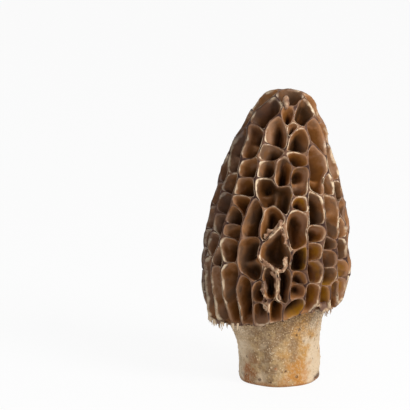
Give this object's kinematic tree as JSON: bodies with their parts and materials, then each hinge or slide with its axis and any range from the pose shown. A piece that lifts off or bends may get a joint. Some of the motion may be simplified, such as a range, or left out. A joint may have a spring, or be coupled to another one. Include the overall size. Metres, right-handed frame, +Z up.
{
  "type": "morel mushroom",
  "caption": "Whole morel mushroom with a conical, honeycomb-pitted hollow cap on a short hollow stem, standing on its cut base.",
  "frame": {"origin": "under the middle of the whole, on the plane that the cut end of the stem rests on", "axes": "+Z up the stem to the apex of the cap, -Y towards the front that the camera sees"},
  "size_m": [0.0458, 0.0446, 0.0898],
  "materials": {
    "cap_flesh": "satin, velvety brown pits between darker ribs with pale edges",
    "stem_flesh": "matte, finely granular cream flesh"
  },
  "bodies": {
    "root": {"cap": "cap_flesh", "stem": "stem_flesh"}
  },
  "joints": []
}
